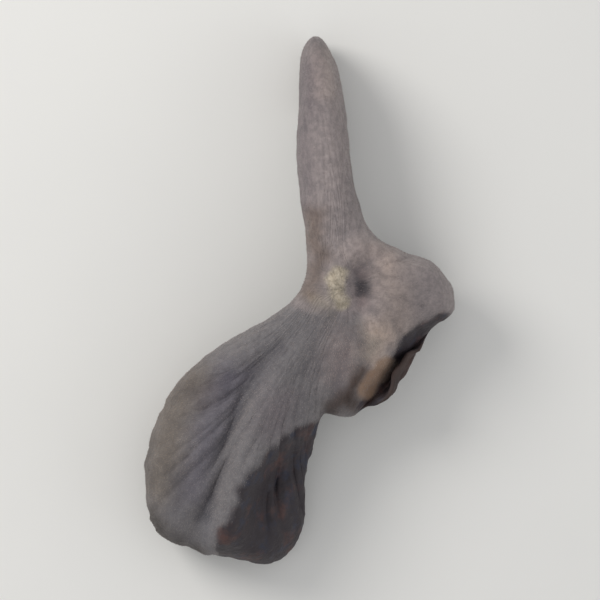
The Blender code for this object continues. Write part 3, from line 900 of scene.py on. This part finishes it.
def outer_skin(name, sheen, colours, mottle, creases):
    """The outer side: velvet, bare and with painted shade on the steep flank, with the margin, the curl and
    the scar.
    """
    material, tree, shader = new_material(name)
    spot = object_place(tree)
    specks = mask(tree, mottle, spot, scale=1500.0, edge=0.1, amount=0.5)
    flank = attribute(tree, "flank")
    colour = velvet_colour(tree, colours, mottle, spot, specks)
    # Painted shade and bare skin: the steep flank takes the dark bare colour.
    colour = mixed(tree, flank, colour, bare_and_shaded_colour(tree, colours, mottle, spot))
    edge = ranged(tree, attribute(tree, "margin"), 0.0, 1.6 * MM, to_low=1.0, to_high=0.0)
    edge = times(tree, edge, minus(tree, 1.0, times(tree, flank, 0.7)))
    colour = mixed(tree, times(tree, edge, 0.75), colour, solid(colours.margin))
    colour = mixed(tree, times(tree, attribute(tree, "curl"), 0.85), colour, solid(colours.curl))
    torn = mixed(tree, specks, solid(colours.scar), solid(colours.scar, 0.7))
    colour = mixed(tree, attribute(tree, "scar"), colour, torn)
    tree.links.new(colour, shader.inputs["Base Color"])

    rough = minus(tree, 0.86, times(tree, counted(tree, "MAXIMUM", flank, edge), 0.3))
    tree.links.new(plus(tree, rough, times(tree, specks, 0.08)), shader.inputs["Roughness"])
    shader.inputs["Specular IOR Level"].default_value = 0.3
    shader.inputs["Sheen Weight"].default_value = sheen
    shader.inputs["Sheen Roughness"].default_value = 0.5
    shader.inputs["Sheen Tint"].default_value = (0.9, 0.85, 0.82, 1)

    lines = dry_creases(tree, creases, spot, scale=800.0, sharpness=4.0)
    nap = noise_texture(tree, spot, scale=7000.0, detail=3.0, roughness=0.7)
    creased = bumped(tree, lines, distance=0.09 * MM, strength=0.6)
    napped = bumped(tree, nap, distance=0.03 * MM, strength=0.5, normal=creased)
    tree.links.new(napped, shader.inputs["Normal"])
    return material


def smooth_skin(colours, mottle, creases):
    """The inner side: nearly black brown, with a low gloss and fine veins, and warmer where it is thin."""
    material, tree, shader = new_material("smooth side")
    spot = object_place(tree)
    patches = mask(tree, mottle, spot, scale=260.0, edge=0.18, amount=0.42)
    dust = mask(tree, mottle, spot, scale=1300.0, edge=0.08, amount=0.38)
    colour = mixed(tree, patches, solid(colours.inner), solid(colours.inner_red))
    hollow = ranged(tree, attribute(tree, "crest"), 0.0, -0.3)
    colour = mixed(tree, times(tree, hollow, 0.35), colour, solid(colours.inner_red))
    colour = mixed(tree, times(tree, dust, 0.12), colour, solid(colours.velvet))
    edge = ranged(tree, attribute(tree, "margin"), 0.0, 1.4 * MM, to_low=1.0, to_high=0.0)
    colour = mixed(tree, times(tree, edge, 0.5), colour, solid(colours.margin))
    colour = mixed(tree, times(tree, attribute(tree, "curl"), edge), colour, solid(colours.curl))
    tree.links.new(colour, shader.inputs["Base Color"])

    dull = times(tree, attribute(tree, "flank"), 0.35)
    rough = plus(tree, ranged(tree, patches, 0.0, 1.0, to_low=0.4, to_high=0.56), dull)
    tree.links.new(rough, shader.inputs["Roughness"])
    shader.inputs["Specular IOR Level"].default_value = 0.3
    lines = dry_creases(tree, creases, spot, scale=520.0, sharpness=5.0)
    tree.links.new(bumped(tree, lines, distance=0.1 * MM, strength=0.7), shader.inputs["Normal"])
    return material


def hair_material(name, dark, light, roughness, takes_tint):
    """Fine fibres, each with its own tone between two colours."""
    material, tree, shader = new_material(name)
    tone = attribute(tree, "tone")
    patches = noise_texture(tree, object_place(tree), scale=600.0, detail=2.0)
    colour = mixed(tree, plus(tree, times(tree, tone, 0.7), times(tree, patches, 0.3)), dark, light)
    # With takes_tint, the hairs get the washes' tint, with its painted light and shade.
    tree.links.new(tinted(tree, colour) if takes_tint else colour, shader.inputs["Base Color"])
    tree.links.new(ranged(tree, tone, 0.0, 1.0, roughness, roughness + 0.15), shader.inputs["Roughness"])
    shader.inputs["Specular IOR Level"].default_value = 0.2
    return material


# ---------------------------------------------------------------- fibres

FIBRE_INPUTS = {
    "Surface": "NodeSocketGeometry",
    "Density": "NodeSocketFloat",
    "Length": "NodeSocketFloat",
    "Thickness": "NodeSocketFloat",
    "Lean": "NodeSocketFloat",
    "Spread": "NodeSocketFloat",
    "Seed": "NodeSocketInt",
    "Material": "NodeSocketMaterial",
}
SHORTEST_FIBRE = 0.55

# Heights over the surface that the piece lies on: where the fibres start, where they are at their
# densest, and the lowest that a fibre reaches
FIBRES_START = 0.2 * MM
FIBRES_DENSEST = 0.6 * MM
FIBRES_LOWEST = 0.02 * MM


def fibre_tree():
    """Geometry nodes that grow leaning fibres out of a surface, most where its density field is highest."""
    tree = bpy.data.node_groups.new("Fibres on a surface", "GeometryNodeTree")
    sockets = {
        label: tree.interface.new_socket(label, in_out="INPUT", socket_type=kind).identifier
        for label, kind in FIBRE_INPUTS.items()
    }
    tree.interface.new_socket("Fibres", in_out="OUTPUT", socket_type="NodeSocketGeometry")
    given = tree.nodes.new("NodeGroupInput").outputs
    result = tree.nodes.new("NodeGroupOutput").inputs

    def field(name, kind="FLOAT"):
        return node(tree, "GeometryNodeInputNamedAttribute", {"Name": name}, data_type=kind).outputs[0]

    def scaled(vector, scale):
        return node(tree, "ShaderNodeVectorMath", {0: vector, "Scale": scale}, operation="SCALE").outputs[0]

    def summed(first, second):
        return node(tree, "ShaderNodeVectorMath", {0: first, 1: second}, operation="ADD").outputs[0]

    thick = times(tree, given["Density"], field("fibres"))
    on_surface = {"Mesh": given["Surface"], "Density": thick, "Seed": given["Seed"]}
    grown = node(tree, "GeometryNodeDistributePointsOnFaces", on_surface)
    size_range = {2: SHORTEST_FIBRE, 3: 1.0, "Seed": given["Seed"]}
    size = node(tree, "FunctionNodeRandomValue", size_range, data_type="FLOAT").outputs[1]
    any_way = {0: (-1, -1, -1), 1: (1, 1, 1), "Seed": given["Seed"]}
    chance = node(tree, "FunctionNodeRandomValue", any_way, data_type="FLOAT_VECTOR").outputs[0]

    upright = scaled(grown.outputs["Normal"], minus(tree, 1.0, given["Lean"]))
    leaning = scaled(field("growth", "FLOAT_VECTOR"), given["Lean"])
    way = summed(summed(upright, leaning), scaled(chance, given["Spread"]))
    way = node(tree, "ShaderNodeVectorMath", {0: way}, operation="NORMALIZE").outputs[0]
    turned = node(tree, "FunctionNodeAlignRotationToVector", {"Vector": way}, axis="Z").outputs[0]
    pointed = {"Vertices": 3, "Side Segments": 1, "Radius Top": 0.0, "Radius Bottom": 1.0, "Depth": 1.0}
    fibre = node(tree, "GeometryNodeMeshCone", pointed, fill_type="NONE").outputs["Mesh"]
    wide = times(tree, given["Thickness"], 0.5)
    extent = {"X": wide, "Y": wide, "Z": times(tree, given["Length"], size)}
    scale = node(tree, "ShaderNodeCombineXYZ", extent).outputs[0]
    instances = {"Points": grown.outputs["Points"], "Instance": fibre, "Rotation": turned, "Scale": scale}
    placed = node(tree, "GeometryNodeInstanceOnPoints", instances).outputs[0]
    tone = {"Geometry": placed, "Name": "tone", "Value": ranged(tree, size, SHORTEST_FIBRE, 1.0)}
    toned = node(tree, "GeometryNodeStoreNamedAttribute", tone, data_type="FLOAT", domain="INSTANCE")
    whole = node(tree, "GeometryNodeRealizeInstances", {"Geometry": toned.outputs[0]}).outputs[0]
    finished = node(tree, "GeometryNodeSetMaterial", {"Geometry": whole, "Material": given["Material"]})
    tree.links.new(finished.outputs[0], result[0])
    return tree, sockets


def outer_ground(name, fibres):
    """A copy of the outer side to grow fibres on. fibres gives, for its fields, how densely they grow."""
    bm = bmesh.new()
    bm.from_mesh(bpy.data.objects["wood_ear_body"].data)
    inner_faces = [face for face in bm.faces if face.material_index == INNER_SLOT]
    bmesh.ops.delete(bm, geom=inner_faces, context="FACES")
    ground = bpy.data.meshes.new(name + "_ground")
    bm.to_mesh(ground)
    bm.free()
    fields = {}
    for label in ("crest", "flank", "curl", "scar"):
        fields[label] = np.empty(len(ground.vertices), np.float32)
        ground.attributes[label].data.foreach_get("value", fields[label])
    height = np.array([vert.co.z for vert in ground.vertices])
    density = np.clip(fibres(fields), 0, 1) * rise(height, FIBRES_START, FIBRES_DENSEST)
    ground.attributes.new("fibres", "FLOAT", "POINT").data.foreach_set("value", density)
    return ground


def grow_fibres(name, fibres, values, material):
    """Grows fibres from the outer side of the fruit body, as one mesh."""
    grower = bpy.data.objects.new(name + "_ground", outer_ground(name, fibres))
    bpy.context.scene.collection.objects.link(grower)
    tree, sockets = fibre_tree()
    modifier = grower.modifiers.new("fibres", "NODES")
    modifier.node_group = tree
    for label, value in {**values, "Material": material}.items():
        modifier[sockets[label]] = value
    grown = bpy.data.meshes.new_from_object(grower.evaluated_get(bpy.context.evaluated_depsgraph_get()))
    grower.modifiers.remove(modifier)
    bpy.data.objects.remove(grower)
    grown.name = name
    for vert in grown.vertices:
        vert.co.z = max(vert.co.z, FIBRES_LOWEST)
    piece = bpy.data.objects.new(name, grown)
    bpy.context.scene.collection.objects.link(piece)
    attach(piece, "root")


# ---------------------------------------------------------------- settings


def count_setting(name, description, default, lowest):
    """A whole number that isn't under the lowest."""
    return IntProperty(name=name, description=description, default=default, min=lowest)


def number_setting(name, description, default, **settings):
    """A number, with its unit if it has one."""
    return FloatProperty(name=name, description=description, default=default, **settings)


def length_setting(name, description, millimetres):
    """A size, given in millimetres and kept in metres."""
    return number_setting(name, description, millimetres * MM, unit="LENGTH", precision=6)


def colour_setting(name, description, *default):
    """A colour with its red, green and blue."""
    settings = {"default": default, "subtype": "COLOR", "min": 0, "max": 1}
    return FloatVectorProperty(name=name, description=description, **settings)


class BodySettings(bpy.types.PropertyGroup):
    """The sheet's points, walls and wrinkles"""

    columns: count_setting("Columns", "Points round the foot and the margin", 400, lowest=60)
    rows: count_setting("Rows", "Points from the foot to the margin", 112, lowest=20)
    margin_steps: count_setting("Margin steps", "Points round the margin's lip", 5, lowest=1)
    wall: length_setting("Wall", "Thickness of the sheet", 0.8)
    margin_wall: length_setting("Wall at the margin", "Thickness of the sheet at its margin", 0.42)
    wrinkle_depth: length_setting("Wrinkle depth", "Height of the wrinkles that run out from the foot", 0.4)
    wrinkle_count: number_setting("Wrinkle count", "How closely the wrinkles follow each other", 7.0)
    wrinkle_space: length_setting("Wrinkle space", "The room that a wrinkle needs", 1.3)
    pucker_depth: length_setting("Pucker depth", "Height of the broad puckers", 0.6)
    wave_depth: length_setting("Wave depth", "Height of the waves of the margin", 2.0)
    crinkle: length_setting("Crinkle", "Depth of the small crinkles along the margin", 0.22)


class SkinSettings(bpy.types.PropertyGroup):
    """The colours of the two sides"""

    velvet: colour_setting("Velvet", "The crests of the finger and the wing", 0.285, 0.245, 0.24)
    velvet_grey: colour_setting("Grey velvet", "The crests of the ear, which are darker", 0.175, 0.165, 0.168)
    # Painted shade: the furrow colour darkens the furrows; it also colours the random dark specks.
    furrow: colour_setting("Furrows", "The outer side in its furrows", 0.095, 0.09, 0.098)
    # The bare flank's colours are partly painted shade on the steep side and partly its bare skin.
    flank: colour_setting("Bare flank", "The steep side of the ear, bare of velvet", 0.036, 0.029, 0.033)
    flank_blue: colour_setting("Bare flank, blue", "The blue-black patches of that side", 0.032, 0.033, 0.05)
    flank_red: colour_setting("Bare flank, red", "The red-brown patches of that side", 0.085, 0.045, 0.04)
    margin: colour_setting("Margin", "The thin margin", 0.075, 0.055, 0.048)
    curl: colour_setting("Curl", "The rolled-up margin of the apron", 0.29, 0.185, 0.12)
    scar: colour_setting("Scar", "The torn place where it grew on the wood", 0.49, 0.425, 0.335)
    inner: colour_setting("Inner side", "The smooth inner side", 0.024, 0.017, 0.018)
    inner_red: colour_setting("Inner side, thin", "The inner side where it is thinner", 0.07, 0.036, 0.028)


class FibreSettings(bpy.types.PropertyGroup):
    """The hairs of the velvet and the torn fibres of the scar"""

    nap_density: number_setting("Velvet density", "Hairs for each square metre of skin", 5.0e7)
    nap_length: length_setting("Velvet length", "Length of the longest hairs", 0.2)
    nap_thickness: length_setting("Velvet thickness", "Thickness of a hair at its root", 0.028)
    nap_light: colour_setting("Light hairs", "Colour of the lightest hairs", 0.42, 0.37, 0.35)
    nap_dark: colour_setting("Dark hairs", "Colour of the darkest hairs", 0.14, 0.12, 0.12)
    scar_density: number_setting("Scar fibre density", "Torn fibres for each square metre of scar", 2.6e7)
    scar_length: length_setting("Scar fibre length", "Length of the longest torn fibres", 0.32)
    scar_thickness: length_setting("Scar fibre thickness", "Thickness of a torn fibre at its root", 0.07)
    seed: IntProperty(name="Seed", description="Changes where the fibres stand", default=4)


class StageSettings(bpy.types.PropertyGroup):
    """The floor, the lights and the camera"""

    floor: colour_setting("Floor", "Colour of the floor", 0.78, 0.77, 0.74)
    key: number_setting("Key light", "Strength of the light from the upper left", 0.32, unit="POWER")
    fill: number_setting("Fill light", "Strength of the light from the right", 0.07, unit="POWER")
    sky: number_setting("Sky", "Strength of the even light from all sides", 0.62)
    lens: number_setting("Lens", "Focal length of the camera, in millimetres", 250.0)
    framing: number_setting("Framing", "Height of the picture over the length of the object", 1.13)


# ---------------------------------------------------------------- operators


class WOODEAR_OT_body(bpy.types.Operator):
    """Make the fruit body"""

    bl_idname = "woodear.body"
    bl_label = "Fruit body"

    def execute(self, context):
        scene = context.scene
        mesh = body_mesh(scene.woodear_body)
        body = bpy.data.objects.new("wood_ear_body", mesh)
        scene.collection.objects.link(body)
        groups = mottle_group(), creases_group()
        mesh.materials.append(outer_skin("velvety side", 0.2, scene.woodear_skin, *groups))
        mesh.materials.append(smooth_skin(scene.woodear_skin, *groups))
        mesh.materials.append(outer_skin("bare side", 0.0, scene.woodear_skin, *groups))
        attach(body, "root")
        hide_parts("fruit_body")
        return {"FINISHED"}


class WOODEAR_OT_velvet(bpy.types.Operator):
    """Grow the short hairs of the outer side"""

    bl_idname = "woodear.velvet"
    bl_label = "Velvet"

    def execute(self, context):
        settings = context.scene.woodear_fibres
        values = {
            "Density": settings.nap_density,
            "Length": settings.nap_length,
            "Thickness": settings.nap_thickness,
            "Lean": 0.72,
            "Spread": 0.3,
            "Seed": settings.seed,
        }

        def thick(fields):
            bare = np.maximum(fields["flank"], fields["scar"])
            return (1 - bare) * (0.55 + 0.45 * rise(fields["crest"], -0.2, 0.1)) * (1 - 0.5 * fields["curl"])

        colours = solid(settings.nap_dark), solid(settings.nap_light)
        material = hair_material("velvet hairs", *colours, roughness=0.75, takes_tint=True)
        grow_fibres("velvet_hairs", thick, values, material)
        return {"FINISHED"}


class WOODEAR_OT_scar(bpy.types.Operator):
    """Grow the torn fibres of the scar"""

    bl_idname = "woodear.scar"
    bl_label = "Scar fibres"

    def execute(self, context):
        settings = context.scene.woodear_fibres
        scar = context.scene.woodear_skin.scar
        values = {
            "Density": settings.scar_density,
            "Length": settings.scar_length,
            "Thickness": settings.scar_thickness,
            "Lean": 0.55,
            "Spread": 1.0,
            "Seed": settings.seed + 1,
        }
        colours = solid(scar, 0.75), solid(scar, 1.2)
        material = hair_material("scar fibres", *colours, roughness=0.7, takes_tint=False)
        grow_fibres("scar_fibres", lambda fields: rise(fields["scar"], 0.3, 0.9), values, material)
        return {"FINISHED"}


def lay_floor(tone, half_size=1.5, below=0.02 * MM):
    """A plain pale floor, just below the object."""
    mesh = bpy.data.meshes.new("floor")
    bm = bmesh.new()
    bmesh.ops.create_grid(bm, x_segments=1, y_segments=1, size=half_size)
    bmesh.ops.translate(bm, verts=bm.verts, vec=(0, 0, -below))
    bm.to_mesh(mesh)
    bm.free()
    floor = bpy.data.objects.new("floor", mesh)
    bpy.context.scene.collection.objects.link(floor)
    material, tree, shader = new_material("floor")
    patches = noise_texture(tree, object_place(tree), scale=60.0, detail=4.0)
    shade = ranged(tree, patches, 0.3, 0.7, to_high=0.06)
    tree.links.new(mixed(tree, shade, solid(tone), (0.6, 0.6, 0.6, 1)), shader.inputs["Base Color"])
    shader.inputs["Roughness"].default_value = 0.9
    mesh.materials.append(material)


def hang_light(name, target, offset, size, power, tone):
    """A round light that points at the target from this far off."""
    light = bpy.data.lights.new(name, "AREA")
    light.shape = "DISK"
    light.size = size
    light.energy = power
    light.color = tone
    lamp = bpy.data.objects.new(name, light)
    lamp.location = target + Vector(offset)
    lamp.rotation_euler = (-Vector(offset)).to_track_quat("-Z", "Y").to_euler()
    bpy.context.scene.collection.objects.link(lamp)


class WOODEAR_OT_stage(bpy.types.Operator):
    """Lay the floor, and set the lights and the camera"""

    bl_idname = "woodear.stage"
    bl_label = "Stage"

    def execute(self, context):
        settings = context.scene.woodear_stage
        scene = context.scene
        low, high = CAD_BOX
        middle = (low + high) / 2
        lay_floor(settings.floor)
        key = {"offset": (-0.16, 0.11, 0.16), "size": 0.12, "tone": (1.0, 0.985, 0.96)}
        fill = {"offset": (0.22, -0.06, 0.12), "size": 0.2, "tone": (0.93, 0.96, 1.0)}
        hang_light("key", middle, power=settings.key, **key)
        hang_light("fill", middle, power=settings.fill, **fill)

        scene.world = bpy.data.worlds.new("sky")
        scene.world.use_nodes = True
        background = scene.world.node_tree.nodes["Background"]
        background.inputs["Color"].default_value = (0.97, 0.98, 1.0, 1)
        background.inputs["Strength"].default_value = settings.sky
        scene.view_settings.view_transform = "Standard"

        # The camera looks straight down, and the object's length fills the picture but for the framing
        camera = bpy.data.cameras.new("camera")
        camera.lens = settings.lens
        camera.clip_start = 0.01
        half_height = (high.y - low.y) / 2 * settings.framing
        distance = half_height / (camera.sensor_width / 2 / camera.lens)
        holder = bpy.data.objects.new("camera", camera)
        holder.location = (middle.x, middle.y, middle.z + distance)
        scene.collection.objects.link(holder)
        scene.camera = holder
        return {"FINISHED"}


class WOODEAR_PT_panel(bpy.types.Panel):
    """The wood ear's pieces and their settings"""

    bl_idname = "WOODEAR_PT_panel"
    bl_label = "Wood ear"
    bl_space_type = "VIEW_3D"
    bl_region_type = "UI"
    bl_category = "Wood ear"

    def draw(self, context):
        for operator in OPERATORS:
            self.layout.operator(operator.bl_idname)
        for group_name, group in SETTINGS.items():
            box = self.layout.box()
            for name in group.__annotations__:
                box.prop(getattr(context.scene, group_name), name)


OPERATORS = (WOODEAR_OT_body, WOODEAR_OT_velvet, WOODEAR_OT_scar, WOODEAR_OT_stage)
SETTINGS = {
    "woodear_body": BodySettings,
    "woodear_skin": SkinSettings,
    "woodear_fibres": FibreSettings,
    "woodear_stage": StageSettings,
}
CLASSES = (*SETTINGS.values(), *OPERATORS, WOODEAR_PT_panel)


def register():
    """Registers the classes, and gives the scene its settings."""
    for each in CLASSES:
        bpy.utils.register_class(each)
    for name, group in SETTINGS.items():
        setattr(bpy.types.Scene, name, PointerProperty(type=group))


def unregister():
    """Takes the settings and the classes away again."""
    for name in SETTINGS:
        delattr(bpy.types.Scene, name)
    for each in reversed(CLASSES):
        bpy.utils.unregister_class(each)


def main():
    """Makes every piece and the stage."""
    register()
    bpy.ops.woodear.body()
    bpy.ops.woodear.velvet()
    bpy.ops.woodear.scar()
    bpy.ops.woodear.stage()


if __name__ == "__main__":
    main()
